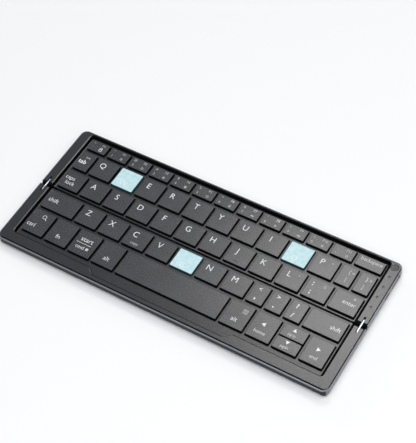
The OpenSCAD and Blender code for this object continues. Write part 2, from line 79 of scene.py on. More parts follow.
class Value:
    """A shader socket that takes part in sums, each of which adds a Math node."""

    def __init__(self, recipe: Recipe, socket: bpy.types.NodeSocket) -> None:
        """Wraps a socket of a recipe's node tree.

        Args:
            recipe: The material recipe that owns the socket.
            socket: An output socket.
        """
        self.recipe = recipe
        self.socket = socket

    def _math(self, operation: str, *inputs: Value | float) -> Value:
        """Adds one Math node.

        Args:
            operation: The node's operation.
            *inputs: Its inputs, as values or numbers.

        Returns:
            The node's output.
        """
        node = self.recipe.node("ShaderNodeMath", {"operation": operation})
        for slot, item in zip(node.inputs, inputs):
            self.recipe.feed(slot, item)
        return Value(self.recipe, node.outputs[0])

    def __add__(self, other: Value | float) -> Value:
        """Adds."""
        return self._math("ADD", self, other)

    def __radd__(self, other: float) -> Value:
        """Adds, from the right."""
        return self._math("ADD", other, self)

    def __sub__(self, other: Value | float) -> Value:
        """Subtracts."""
        return self._math("SUBTRACT", self, other)

    def __rsub__(self, other: float) -> Value:
        """Subtracts this value from a number."""
        return self._math("SUBTRACT", other, self)

    def __mul__(self, other: Value | float) -> Value:
        """Multiplies."""
        return self._math("MULTIPLY", self, other)

    def __rmul__(self, other: float) -> Value:
        """Multiplies, from the right."""
        return self._math("MULTIPLY", other, self)

    def between(self, low: float, high: float) -> Value:
        """Spreads the part from low to high over 0 to 1.

        Args:
            low: The value that becomes 0.
            high: The value that becomes 1.

        Returns:
            The clamped result.
        """
        node = self.recipe.node(
            "ShaderNodeMapRange", {"clamp": True}, From_Min=low, From_Max=high, Value=self
        )
        return Value(self.recipe, node.outputs[0])


class Recipe:
    """The node tree of one material, built around a Principled shader."""

    def __init__(self, name: str) -> None:
        """Starts a material.

        Args:
            name: The material's name.
        """
        self.material = bpy.data.materials.new(name)
        self.material.use_nodes = True
        self.tree = self.material.node_tree
        self.shader = next(n for n in self.tree.nodes if n.type == "BSDF_PRINCIPLED")

    def feed(self, slot: bpy.types.NodeSocket, item: object) -> None:
        """Links a value to an input, or sets a number or colour on it.

        Args:
            slot: The input socket.
            item: A value, a socket, a number or a tuple.
        """
        if isinstance(item, Value):
            self.tree.links.new(item.socket, slot)
        elif isinstance(item, bpy.types.NodeSocket):
            self.tree.links.new(item, slot)
        else:
            slot.default_value = item

    def node(self, kind: str, settings: dict | None = None, **sockets: object) -> bpy.types.Node:
        """Adds any node.

        Args:
            kind: The node's type.
            settings: Its settings, which are set before its sockets.
            **sockets: Its inputs by name, with an underscore for each space.

        Returns:
            The node.
        """
        made = self.tree.nodes.new(kind)
        for key, item in (settings or {}).items():
            setattr(made, key, item)
        for key, item in sockets.items():
            name = key.replace("_", " ")
            slot = next(s for s in made.inputs if s.name == name and s.enabled)
            self.feed(slot, item)
        return made

    def place(self) -> bpy.types.NodeSocket:
        """Gives the piece's own coordinates, in metres."""
        return self.node("ShaderNodeTexCoord").outputs["Object"]

    def noise(self, size: float, detail: float = 2.0, stretch: Vector | None = None) -> Value:
        """Adds a noise pattern.

        Args:
            size: The size of its grains, in millimetres.
            detail: The number of finer layers.
            stretch: How much denser the pattern is along each axis.

        Returns:
            The noise, from 0 to 1.
        """
        where = self.place()
        if stretch is not None:
            mapping = self.node("ShaderNodeMapping", Vector=where, Scale=stretch)
            where = mapping.outputs[0]
        made = self.node("ShaderNodeTexNoise", Vector=where, Scale=1 / (size * MM), Detail=detail)
        return Value(self, made.outputs[0])

    def ramp(self, low: Sequence[float], high: Sequence[float], by: Value) -> Value:
        """Blends two colours.

        Args:
            low: The colour where the factor is 0.
            high: The colour where the factor is 1.
            by: The factor.

        Returns:
            The blended colour.
        """
        made = self.node("ShaderNodeMix", {"data_type": "RGBA"})
        self.feed(made.inputs[0], by)
        self.feed(made.inputs[6], (*low, 1.0))
        self.feed(made.inputs[7], (*high, 1.0))
        return Value(self, made.outputs[2])

    def bump(self, height: Value, depth: float) -> None:
        """Feeds a Bump node to the shader's normal.

        Args:
            height: The height pattern, from 0 to 1.
            depth: The height of the pattern, in millimetres.
        """
        made = self.node("ShaderNodeBump", Height=height, Distance=depth * MM, Strength=1.0)
        self.feed(self.shader.inputs["Normal"], made.outputs[0])

    def set(self, **sockets: object) -> None:
        """Sets or feeds the shader's own inputs.

        Args:
            **sockets: The inputs by name, with an underscore for each space.
        """
        for key, item in sockets.items():
            self.feed(self.shader.inputs[key.replace("_", " ")], item)


# ------------------------------------------------------------------------------------------------
# Finishes

Colour = tuple[float, float, float]


@dataclass(frozen=True)
class Finish:
    """A finish that is made once and then shared.

    Attributes:
        name: The name of the material.
    """

    name: str

    def material(self) -> bpy.types.Material:
        """Gives the finish's material, which it makes at the first call."""
        made = bpy.data.materials.get(self.name)
        return made or self.mix()

    def mix(self) -> bpy.types.Material:
        """Makes the material."""
        raise NotImplementedError


@dataclass(frozen=True)
class GrainedPlastic(Finish):
    """Satin moulded plastic with a fine spark-eroded grain.

    Attributes:
        colour: The base colour.
        roughness: The middle roughness.
        grain: The size of the grain, in millimetres.
        depth: The depth of the grain, in millimetres.
        mottle: How much the tone drifts over the surface.
        specular: The strength of the sheen.
    """

    colour: Colour = (0.0215, 0.0218, 0.0224)
    roughness: float = 0.27
    grain: float = 0.22
    depth: float = 0.018
    mottle: float = 0.85
    specular: float = 0.53

    def mix(self) -> bpy.types.Material:
        """Makes the grained material."""
        recipe = Recipe(self.name)
        grain = recipe.noise(self.grain, 3.0)
        speckle = recipe.noise(self.grain * 2.4, 4.0)
        cloud = recipe.noise(11.0, 2.0)
        tone = speckle * 0.75 + cloud * 0.25
        dark = tuple(c * (1 - self.mottle) for c in self.colour)
        light = tuple(c * (1 + self.mottle) for c in self.colour)
        recipe.set(
            Base_Color=recipe.ramp(dark, light, tone.between(0.35, 0.65)),
            Roughness=(self.roughness - 0.05) + 0.1 * speckle,
            Specular_IOR_Level=self.specular,
        )
        recipe.bump(grain * 0.5 + speckle * 0.5, self.depth)
        return recipe.material


@dataclass(frozen=True)
class CastAlloy(Finish):
    """Blasted and anodised light alloy with a fine sparkle.

    Attributes:
        colour: The metal's tint.
        roughness: The middle roughness.
        metal: How metallic it is.
        specular: The strength of the sheen.
    """

    colour: Colour
    roughness: float = 0.36
    metal: float = 0.6
    specular: float = 0.5

    def mix(self) -> bpy.types.Material:
        """Makes the alloy."""
        recipe = Recipe(self.name)
        grain = recipe.noise(0.16, 3.0)
        speckle = recipe.noise(0.5, 3.0)
        handling = recipe.noise(18.0, 3.0)
        dark = tuple(c * 0.82 for c in self.colour)
        light = tuple(c * 1.15 for c in self.colour)
        recipe.set(
            Base_Color=recipe.ramp(dark, light, speckle.between(0.3, 0.7)),
            Roughness=(self.roughness - 0.06) + 0.08 * speckle + 0.06 * handling,
            Metallic=self.metal,
            Specular_IOR_Level=self.specular,
        )
        recipe.bump(grain * 0.6 + speckle * 0.4, 0.006)
        return recipe.material


@dataclass(frozen=True)
class Mottled(Finish):
    """A smooth coat, ink, rubber or tinted plastic with clouds of a second tone.

    Attributes:
        colour: The base colour.
        pale: The colour of the clouds.
        cloud: The clouds' size, their detail and the part of the noise they spread over.
        grain: The size and detail of the relief.
        roughness: The lowest roughness.
        spread: How much the clouds and the relief add to the roughness.
        depth: The depth of the relief, in millimetres.
    """

    colour: Colour
    pale: Colour
    cloud: tuple[float, float, float, float]
    grain: tuple[float, float]
    roughness: float
    spread: tuple[float, float]
    depth: float

    def mix(self) -> bpy.types.Material:
        """Makes the mottled material."""
        recipe = Recipe(self.name)
        size, detail, low, high = self.cloud
        cloud = recipe.noise(size, detail)
        grain = recipe.noise(*self.grain)
        recipe.set(
            Base_Color=recipe.ramp(self.colour, self.pale, cloud.between(low, high)),
            Roughness=self.roughness + self.spread[0] * cloud + self.spread[1] * grain,
        )
        recipe.bump(grain, self.depth)
        return recipe.material


def satin_paint(name: str, colour: Colour, pale: Colour) -> Mottled:
    """Describes smooth satin paint with a faint orange-peel."""
    return Mottled(name, colour, pale, (2.4, 3.0, 0.35, 0.65), (0.5, 2.0), 0.42, (0, 0.08), 0.01)


def matt_rubber(name: str, colour: Colour, bloom: Colour, roughness: float = 0.75) -> Mottled:
    """Describes rubber or silicone with a soft bloom."""
    return Mottled(name, colour, bloom, (1.6, 4.0, 0.35, 0.7), (0.12, 2.0), roughness, (0.1, 0),
                   0.01)


def printed_ink(name: str, thin: Colour, full: Colour) -> Mottled:
    """Describes pad-printed ink, slightly uneven."""
    return Mottled(name, thin, full, (0.35, 3.0, 0.2, 0.5), (0.35, 3.0), 0.45, (0.15, 0), 0.004)


@dataclass(frozen=True)
class DrawnSteel(Finish):
    """Bright steel with fine lines along one axis.

    Attributes:
        colour: The metal's tint.
        roughness: The middle roughness.
        lines: How much denser the pattern is along each axis.
    """

    colour: Colour = (0.72, 0.72, 0.74)
    roughness: float = 0.2
    lines: tuple[float, float, float] = (8.0, 0.4, 8.0)

    def mix(self) -> bpy.types.Material:
        """Makes the metal."""
        recipe = Recipe(self.name)
        lines = recipe.noise(0.8, 3.0, Vector(self.lines))
        smudge = recipe.noise(2.5, 2.0)
        recipe.set(
            Base_Color=recipe.ramp(tuple(c * 0.86 for c in self.colour), self.colour, lines),
            Metallic=1.0,
            Roughness=self.roughness + 0.12 * smudge + 0.08 * lines,
        )
        recipe.bump(lines, 0.004)
        return recipe.material


@dataclass(frozen=True)
class CircuitBoard(Finish):
    """Green solder resist over copper tracks."""

    def mix(self) -> bpy.types.Material:
        """Makes the board."""
        recipe = Recipe(self.name)
        wave = recipe.node(
            "ShaderNodeTexWave", {"bands_direction": "X"}, Vector=recipe.place(),
            Scale=900.0, Distortion=6.0, Detail=1.0,
        )
        tracks = Value(recipe, wave.outputs[1]).between(0.55, 0.65)
        recipe.set(
            Base_Color=recipe.ramp((0.01, 0.05, 0.03), (0.02, 0.12, 0.06), tracks),
            Roughness=0.3 + 0.1 * tracks,
        )
        recipe.bump(tracks, 0.02)
        return recipe.material


@dataclass(frozen=True)
class FoilPouch(Finish):
    """Grey laminated foil with small creases."""

    def mix(self) -> bpy.types.Material:
        """Makes the foil."""
        recipe = Recipe(self.name)
        crease = recipe.noise(2.2, 5.0)
        recipe.set(
            Base_Color=recipe.ramp((0.35, 0.36, 0.37), (0.5, 0.51, 0.52), crease),
            Metallic=0.7,
            Roughness=0.35 + 0.2 * crease,
        )
        recipe.bump(crease, 0.05)
        return recipe.material


class Palette(Enum):
    """Every finish on the keyboard."""

    # painted highlight: a lighter copy of the case alloy for the rim's top and the walls that face
    # right, where the light falls
    HIGHLIGHT_ALLOY = CastAlloy("painted_highlight_alloy", colour=(0.17, 0.174, 0.188))
    CASE = CastAlloy("case_alloy", colour=(0.075, 0.077, 0.085), roughness=0.28, metal=0.25)
    # painted shade: a near-black copy of the case alloy for the walls that face the front, away
    # from the main light
    FRONT_SHADE = CastAlloy("front_shade_alloy", colour=(0.018, 0.0185, 0.021), roughness=0.36, metal=0.05,
                      specular=0.1)
    # painted shade: a darker copy of the case alloy for the undercut that faces down towards the
    # floor
    UNDERSIDE_SHADE = CastAlloy("underside_shade_alloy", colour=(0.05, 0.051, 0.056), roughness=0.5, metal=0.3)
    LINK = DrawnSteel("link_steel", colour=(0.75, 0.75, 0.76), roughness=0.36)
    FRAME = GrainedPlastic("frame_plastic", colour=(0.005, 0.0051, 0.0054), roughness=0.25,
                           specular=0.48)
    DECK = GrainedPlastic("deck_plastic", colour=(0.005, 0.0051, 0.0054), specular=0.45)
    KEY = GrainedPlastic("key_plastic")
    # painted shade: a near-black finish put on walls, sides and recesses that lie in shade
    SHADE = GrainedPlastic("shade_plastic", colour=(0.003, 0.003, 0.0032), roughness=0.7,
                           specular=0.05)
    PALE_KEY = satin_paint("pale_key_paint", (0.45, 0.68, 0.71), (0.58, 0.77, 0.79))
    # painted shade: a dark copy of the pale key paint for the sides of the pale keys
    PALE_SIDE_SHADE = satin_paint("pale_key_side_shade_paint", (0.02, 0.08, 0.09), (0.03, 0.11, 0.12))
    STEEL = DrawnSteel("hinge_steel")
    SCREW = DrawnSteel("screw_steel", colour=(0.16, 0.16, 0.17), roughness=0.35)
    # painted shade: a dark copy of the link steel for the links' flanks
    FLANK_SHADE = DrawnSteel("flank_shade_steel", colour=(0.03, 0.03, 0.032), roughness=0.5)
    # painted shade: near-black steel that stands in for the shade inside the socket's opening
    SOCKET_SHADE = DrawnSteel("socket_steel", colour=(0.004, 0.004, 0.0042), roughness=0.6)
    SWITCH = matt_rubber("switch_plastic", (0.012, 0.012, 0.013), (0.02, 0.02, 0.021))
    RUBBER = matt_rubber("foot_rubber", (0.02, 0.02, 0.022), (0.045, 0.045, 0.048))
    BUMPER = matt_rubber("bumper_rubber", (0.034, 0.034, 0.036), (0.068, 0.068, 0.071), 0.42)
    SILICONE = matt_rubber("dome_silicone", (0.012, 0.012, 0.013), (0.03, 0.03, 0.031))
    INK = printed_ink("white_ink", (0.62, 0.62, 0.62), (0.9, 0.9, 0.9))
    FAINT_INK = printed_ink("faint_ink", (0.34, 0.34, 0.345), (0.56, 0.56, 0.56))
    PALE_INK = printed_ink("pale_key_ink", (0.72, 0.78, 0.8), (0.86, 0.84, 0.86))
    LENS = Mottled("window_plastic", (0.05, 0.05, 0.054), (0.16, 0.16, 0.17),
                   (0.6, 3.0, 0.3, 0.8), (0.6, 3.0), 0.24, (0.06, 0), 0.003)
    BOARD = CircuitBoard("board_resist")
    FOIL = FoilPouch("cell_foil")


# ------------------------------------------------------------------------------------------------
# Making and placing pieces


def report(piece: bpy.types.Object, note: str) -> None:
    """Logs a finished piece.

    Args:
        piece: The piece.
        note: What it is.
    """
    LOG.info("%s: %s, %d faces", piece.name, note, len(piece.data.polygons))


def make_piece(name: str, bm: Mesh, finishes: Sequence[Palette], body: str,
               slot: str, sharp: float = 35.0) -> bpy.types.Object:
    """Turns a bmesh in metres into a piece that rides on a body.

    Args:
        name: The piece's name.
        bm: Its mesh, which is freed.
        finishes: Its finishes, in the order of its material slots.
        body: The body it rides on.
        slot: The record's material slot; not used.
        sharp: The angle past which an edge is drawn sharp, in degrees.

    Returns:
        The piece.
    """
    mesh = bpy.data.meshes.new(name)
    bm.to_mesh(mesh)
    bm.free()
    for finish in finishes:
        mesh.materials.append(finish.value.material())
    mesh.shade_smooth()
    mesh.set_sharp_from_angle(angle=math.radians(sharp))
    piece = bpy.data.objects.new(name, mesh)
    bpy.context.scene.collection.objects.link(piece)
    evened = piece.modifiers.new("even_shading", "WEIGHTED_NORMAL")
    evened.keep_sharp = True
    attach(piece, body)
    return piece


def round_box(bm: Mesh, low: Vector, high: Vector, upright: float, top: float) -> None:
    """Makes a block with round upright edges and a softened top edge, in millimetres.

    Args:
        bm: The empty mesh that receives it.
        low: Its lowest corner.
        high: Its highest corner.
        upright: The radius of the four upright edges.
        top: The width of the softened top edge.
    """
    steps = 3
    size = high - low
    bmesh.ops.create_cube(bm, size=1.0)
    bmesh.ops.scale(bm, vec=size, verts=bm.verts)
    bmesh.ops.translate(bm, vec=(low + high) / 2, verts=bm.verts)
    posts = [e for e in bm.edges if abs(e.verts[0].co.z - e.verts[1].co.z) > size.z / 2]
    bmesh.ops.bevel(bm, geom=posts, offset=upright, segments=steps, profile=0.5,
                    affect="EDGES", material=-1)
    rim = [e for e in bm.edges if all(abs(v.co.z - high.z) < 1e-6 for v in e.verts)
           and min(f.normal.z for f in e.link_faces) < 0.5]
    bmesh.ops.bevel(bm, geom=rim, offset=top, segments=steps, profile=0.5, affect="EDGES",
                    material=-1)


@dataclass(frozen=True)
class Mark:
    """One printed word or sign on a key.

    Attributes:
        text: The word, or the name of a sign.
        x: Its anchor's place along the keyboard.
        y: The place of its middle, from the fold line.
        size: The height of a capital letter.
        faint: Whether it is printed in the darker ink.
        weight: How much its strokes are thickened, as a share of its size.
    """

    text: str
    x: float
    y: float
    size: float
    faint: bool = False
    weight: float = -0.011


ARROW_TURNS = {"arrow_left": 90, "arrow_right": -90, "arrow_up": 0, "arrow_down": 180}


class Lettering:
    """Prints words and signs as thin meshes."""

    cap_height = 0.73  # height of a capital, as a share of the font's size
    ink = 0.012  # thickness of the ink

    def word(self, mark: Mark) -> Mesh:
        """Makes a word at the origin, in millimetres.

        Args:
            mark: The word's text, size and weight.

        Returns:
            Its mesh.
        """
        curve = bpy.data.curves.new("word", "FONT")
        curve.body = mark.text
        curve.size = mark.size / self.cap_height
        curve.align_x = curve.align_y = "CENTER"
        curve.resolution_u = 3
        curve.extrude = self.ink / 2
        curve.offset = mark.weight * mark.size
        holder = bpy.data.objects.new("word", curve)
        mesh = bpy.data.meshes.new_from_object(holder)
        bm = bmesh.new()
        bm.from_mesh(mesh)
        bmesh.ops.remove_doubles(bm, verts=bm.verts, dist=1e-5)
        bpy.data.objects.remove(holder)
        bpy.data.curves.remove(curve)
        bpy.data.meshes.remove(mesh)
        return bm

    def plate(self, points: int, radius: float, turn: float = 0.0,
              stroke: float = 0.0) -> Mesh:
        """Makes a polygon or a disc, filled or as an outline.

        Args:
            points: The number of its corners.
            radius: Its outer radius.
            turn: Its turn, in degrees.
            stroke: The width of the outline, or 0 for a filled shape.

        Returns:
            Its mesh.
        """
        bm = bmesh.new()
        bmesh.ops.create_circle(bm, cap_ends=True, segments=points, radius=radius,
                                matrix=Matrix.Rotation(math.radians(turn), 4, "Z"))
        if stroke:
            middle = next(iter(bm.faces))
            bmesh.ops.inset_individual(bm, faces=[middle], thickness=stroke, use_even_offset=True)
            bmesh.ops.delete(bm, geom=[middle], context="FACES_ONLY")
        return self.thicken(bm)

    def bar(self, length: float, stroke: float, turn: float = 0.0) -> Mesh:
        """Makes a straight stroke.

        Args:
            length: Its length.
            stroke: Its width.
            turn: Its turn, in degrees.

        Returns:
            Its mesh.
        """
        bm = bmesh.new()
        bmesh.ops.create_cube(bm, size=1.0)
        bmesh.ops.scale(bm, vec=(length, stroke, self.ink), verts=bm.verts)
        bmesh.ops.rotate(bm, matrix=Matrix.Rotation(math.radians(turn), 3, "Z"), verts=bm.verts)
        return bm

    def thicken(self, bm: Mesh) -> Mesh:
        """Gives a flat outline the thickness of the ink.

        Args:
            bm: The flat mesh.

        Returns:
            The same mesh, closed and centred on its plane.
        """
        made = bmesh.ops.extrude_face_region(bm, geom=bm.faces[:])
        top = [g for g in made["geom"] if isinstance(g, bmesh.types.BMVert)]
        bmesh.ops.translate(bm, vec=(0, 0, self.ink), verts=top)
        bmesh.ops.translate(bm, vec=(0, 0, -self.ink / 2), verts=bm.verts)
        bmesh.ops.recalc_face_normals(bm, faces=bm.faces)
        return bm

    def parts(self, mark: Mark) -> list[tuple[Mesh, Vector]]:
        """Makes a mark's meshes, each with its place.

        Args:
            mark: The word or sign.

        Returns:
            Its meshes and places, in millimetres from the mark's anchor.
        """
        s = mark.size
        flat = Vector((0, 0, 0))
        if mark.text in ARROW_TURNS:
            return [(self.plate(3, s * 0.62, ARROW_TURNS[mark.text]), flat)]
        match mark.text:
            case "magnifier":
                return [(self.plate(20, s * 0.42, stroke=0.23), flat),
                        (self.bar(s * 0.5, 0.32, -45), Vector((s * 0.44, -s * 0.44, 0)))]
            case "underline":
                return [(self.bar(s, 0.19), flat)]
            case "menu":
                return [(self.plate(4, s * 0.62, 45, 0.22), flat)] + [
                    (self.bar(s * 0.5, 0.2), Vector((0, k * s * 0.2, 0))) for k in (-1, 0, 1)]
            case "filled_square":
                return [(self.plate(4, s * 0.62, 45), flat)]
            case "square":
                return [(self.plate(4, s * 0.6, 45, 0.2), flat)]
            case "padlock":
                return [(self.plate(4, s * 0.5, 45, 0.3), Vector((0, -s * 0.15, 0))),
                        (self.plate(12, s * 0.3, stroke=0.22), Vector((0, s * 0.3, 0)))]
            case "bars":
                return [(self.bar(s * 0.9, 0.24), Vector((0, k * s * 0.3, 0))) for k in (-1, 0, 1)]
            case "play":
                return [(self.plate(3, s * 0.5, -90), flat)]
            case "forward":
                return [(self.plate(3, s * 0.42, -90), Vector((k * s * 0.3, 0, 0)))
                        for k in (-1, 1)]
            case "disc":
                return [(self.plate(16, s * 0.45, stroke=0.24), flat)]
        return [(self.word(mark), flat)]


def absorb(bm: Mesh, other: Mesh, place: Vector | None = None,
           material: int | None = None) -> None:
    """Adds a copy of a mesh to another, and frees it.

    Args:
        bm: The mesh that grows.
        other: The mesh that is added.
        place: How far it is moved.
        material: The material slot of its faces, which otherwise keep their own.
    """
    if material is not None:
        for face in other.faces:
            face.material_index = material
    if place is not None:
        bmesh.ops.translate(other, vec=place, verts=other.verts)
    mesh = bpy.data.meshes.new("absorbed")
    other.to_mesh(mesh)
    other.free()
    bm.from_mesh(mesh)
    bpy.data.meshes.remove(mesh)


# ------------------------------------------------------------------------------------------------
# Keys


@dataclass
class Keycap:
    """One key: a hollow cap with painted shade on its sides, and what is printed on it.

    Attributes:
        low: The lowest corner of the cap, in millimetres.
        high: Its highest corner.
        tabs: How far its tabs stand out at each side.
        marks: What is printed on it.
        homing: Whether it has a homing bar.
        corner: The radius of its upright edges.
        edge: The width of its softened top edge.
        wall: The thickness of its sides.
        roof: The thickness of its top.
        plunger: The radius of the plunger under its top.
        tab: The length and the height of its retaining tabs.
    """

    low: Vector
    high: Vector
    tabs: float
    marks: list[Mark] = field(default_factory=list)
    homing: bool = False
    corner: float = 0.5
    edge: float = 0.22
    wall: float = 0.9
    roof: float = 0.8
    plunger: float = 1.5
    tab: tuple[float, float] = (4.0, 0.5)

    @property
    def middle(self) -> Vector:
        """Gives the middle of the cap's top."""
        m = (self.low + self.high) / 2
        return Vector((m.x, m.y, self.high.z))

    def cap(self) -> Mesh:
        """Makes the cap, with its top in slot 0 and its sides and hollow in slot 1, which holds
        painted shade.
        """
        bm = bmesh.new()
        round_box(bm, self.low, self.high, self.corner, self.edge)
        bm.normal_update()
        foot = [f for f in bm.faces if f.normal.z < -0.9]
        bmesh.ops.inset_region(bm, faces=foot, thickness=self.wall, use_even_offset=True)
        foot = [f for f in bm.faces if f.normal.z < -0.9 and self._inside(f)]
        bmesh.ops.delete(bm, geom=foot, context="FACES_ONLY")
        lips = [e for e in bm.edges if e.is_boundary]
        made = bmesh.ops.extrude_edge_only(bm, edges=lips)
        raised = [g for g in made["geom"] if isinstance(g, bmesh.types.BMVert)]
        depth = self.high.z - self.roof - self.low.z
        bmesh.ops.translate(bm, vec=(0, 0, depth), verts=raised)
        bmesh.ops.holes_fill(bm, edges=[e for e in bm.edges if e.is_boundary], sides=0)
        bm.normal_update()
        bmesh.ops.recalc_face_normals(bm, faces=bm.faces)
        for face in bm.faces:
            up = face.normal.z > 0.3 and face.calc_center_median().z > self.high.z - self.edge * 1.5
            face.material_index = 0 if up else 1
        self._add_post(bm)
        return bm

    def _inside(self, face: Face) -> bool:
        """Tells whether a face of the underside lies within the wall.

        Args:
            face: A face of the underside.

        Returns:
            True if all its corners do.
        """
        reach = self.wall * 0.5
        return all(self.low.x + reach < v.co.x < self.high.x - reach
                   and self.low.y + reach < v.co.y < self.high.y - reach for v in face.verts)

    def _add_post(self, bm: Mesh) -> None:
        """Adds the plunger under the roof and a retaining tab at each side.

        Args:
            bm: The cap's mesh.
        """
        height, overlap, root = 0.35, 0.1, 0.3
        post = bmesh.new()
        top = self.high.z - self.roof + overlap
        bmesh.ops.create_cone(post, cap_ends=True, segments=20, radius1=self.plunger - 0.1,
                              radius2=self.plunger, depth=height)
        absorb(bm, post, Vector((self.middle.x, self.middle.y, top - height / 2)), 1)
        for side in (-1, 1):
            tab = bmesh.new()
            bmesh.ops.create_cube(tab, size=1.0)
            bmesh.ops.scale(tab, vec=(self.tabs + root, *self.tab), verts=tab.verts)
            edge = self.low.x if side < 0 else self.high.x
            x = edge + side * (self.tabs - (self.tabs + root) / 2)
            absorb(bm, tab, Vector((x, self.middle.y, self.low.z + self.tab[1] / 2)), 1)

    def print_on(self, bm: Mesh, letters: Lettering) -> None:
        """Adds the key's marks to a mesh of ink.

        Args:
            bm: The ink's mesh.
            letters: What makes the words and signs.
        """
        for mark in self.marks:
            anchor = Vector((mark.x, mark.y, self.high.z + letters.ink * 0.4))
            for part, place in letters.parts(mark):
                absorb(bm, part, anchor + place, 1 if mark.faint else 0)

    def ridge(self) -> Mesh:
        """Makes the homing bar, half sunk in the top near the key's front."""
        size, place = (3.4, 0.55, 0.5), Vector((-0.4, -4.1, -0.1))
        bm = bmesh.new()
        bmesh.ops.create_cube(bm, size=1.0)
        bmesh.ops.scale(bm, vec=size, verts=bm.verts)
        bmesh.ops.bevel(bm, geom=bm.edges[:], offset=0.18, segments=3, profile=0.5,
                        affect="EDGES", material=-1)
        bmesh.ops.translate(bm, vec=self.middle + place, verts=bm.verts)
        return bm


def letter_marks(letter: str, middle: Vector) -> list[Mark]:
    """Gives the print of a letter key.

    Args:
        letter: The letter, in lower case.
        middle: The middle of the key's top.

    Returns:
        Its marks.
    """
    x, y = middle.x, middle.y
    if letter in "wob":
        return [Mark(letter.upper(), x - 0.8, y - 3.1, 3.6)]
    marks = [Mark(letter.upper(), x - 2.2, y + 2.0, 3.8)]
    if letter == "c":
        marks.append(Mark("copy", x + 0.2, y - 3.5, 1.9, faint=True))
    if letter == "p":
        marks.append(Mark("*", x + 3.4, y + 2.8, 2.2, faint=True))
    if letter == "l":
        marks.append(Mark("+", x + 3.3, y + 3.4, 1.9, faint=True))
    return marks


WORD_MARKS: dict[str, list[Mark]] = {
    "key_tab": [Mark("esc", -90.1, 27.1, 1.9, faint=True),
                Mark("tab", -91.8, 23.3, 3.0, weight=0.01)],
    "key_caps_lock": [Mark("caps", -91.0, 10.1, 2.7), Mark("lock", -89.3, 6.5, 2.7)],
    "key_enter": [Mark("enter", 89.9, 8.8, 2.6),
                  Mark("bars", 91.5, 12.4, 1.1, faint=True)],
    "key_left_shift": [Mark("shift", -90.2, -8.2, 2.9)],
    "key_right_shift": [Mark("shift", 91.0, -8.5, 2.7)],
    "key_left": [Mark("arrow_left", 57.0, -23.4, 2.3),
                 Mark("home", 57.0, -28.6, 2.2, faint=True, weight=0.01)],
    "key_right": [Mark("arrow_right", 89.0, -23.5, 2.3),
                  Mark("end", 88.9, -28.7, 2.2, faint=True, weight=0.01)],
    "key_up": [Mark("arrow_up", 73.2, -19.4, 2.1),
               Mark("pgup", 72.8, -22.2, 1.7, faint=True, weight=0.0)],
    "key_down": [Mark("arrow_down", 73.1, -27.2, 2.1),
                 Mark("pgdn", 72.8, -30.3, 1.8, faint=True, weight=0.01)],
}


def number_marks(index: int, middle: Vector) -> list[Mark]:
    """Gives the print of a key in the number row.

    Args:
        index: Its place, from the left.
        middle: The middle of the key's top.

    Returns:
        Its marks.
    """
    x, y = middle.x, middle.y
    if index == 0:
        return [Mark("~", x - 3.8, y + 2.0, 1.6, faint=True),
                Mark("esc", x + 2.4, y + 2.1, 1.4, faint=True),
                Mark("`", x - 3.8, y - 1.8, 1.8, faint=True),
                Mark("padlock", x + 2.0, y - 1.2, 2.6)]
    if index == 12:
        return [Mark("backspace", 88.5, 38.2, 2.3, faint=True, weight=0.008)]
    upper = "!@#$%^&*()_"[index - 1]
    lower = "1234567890-"[index - 1]
    signs = ["disc", "square", "bars", "menu", "square", "bars", "forward", "play", "forward",
             "bars", "disc"]
    return [Mark(upper, x - 4.0, y + 1.9, 1.6, faint=True),
            Mark(lower, x - 4.0, y - 1.7, 1.7, faint=True),
            Mark(f"F{index}", x + 2.6, y + 1.9, 1.6, faint=index not in (6, 7, 8)),
            Mark(signs[index - 1], x + 2.6, y - 1.7, 1.6, faint=True)]


BANK_MARKS: dict[str, list[list[Mark]]] = {
    "rear_punctuation_keys": [
        [Mark(":", 67.3, 11.5, 3.4, weight=0.02), Mark(";", 68.0, 6.2, 3.4, weight=0.02),
         Mark("square", 74.0, 11.8, 1.6, faint=True)],
        [Mark("{", 81.2, 26.6, 2.4, faint=True, weight=0.01),
         Mark("[", 81.2, 21.4, 2.4, faint=True),
         Mark("square", 83.4, 26.8, 1.3, faint=True)],
        [Mark("}", 91.4, 26.6, 2.4, faint=True, weight=0.03),
         Mark("]", 91.4, 21.4, 2.4, faint=True),
         Mark("bars", 93.6, 26.8, 1.3, faint=True)],
    ],
    "front_small_keys": [
        [Mark("ctrl", -92.0, -27.7, 2.9), Mark("magnifier", -87.6, -20.5, 3.1)],
        [Mark("fn", -73.1, -28.0, 2.9)],
        [Mark("start", -56.7, -22.5, 3.1), Mark("underline", -57.2, -25.3, 9.6),
         Mark("cmd", -58.2, -28.0, 2.4),
         Mark("filled_square", -53.6, -27.9, 1.9, faint=True)],
        [Mark("alt", -40.5, -27.7, 2.9)],
        [Mark("alt", 41.3, -28.0, 2.8), Mark("menu", 44.6, -21.4, 3.0, faint=True)],
        [Mark("<", 44.5, -5.2, 2.7, weight=0.0), Mark(",", 44.3, -10.3, 3.8, weight=0.03)],
        [Mark(">", 55.6, -5.2, 2.7, weight=0.02), Mark(".", 55.6, -10.5, 3.8, weight=0.03)],
        [Mark("?", 67.0, -5.4, 2.9, weight=0.025), Mark("/", 67.0, -11.5, 2.9, weight=0.025)],
    ],
}


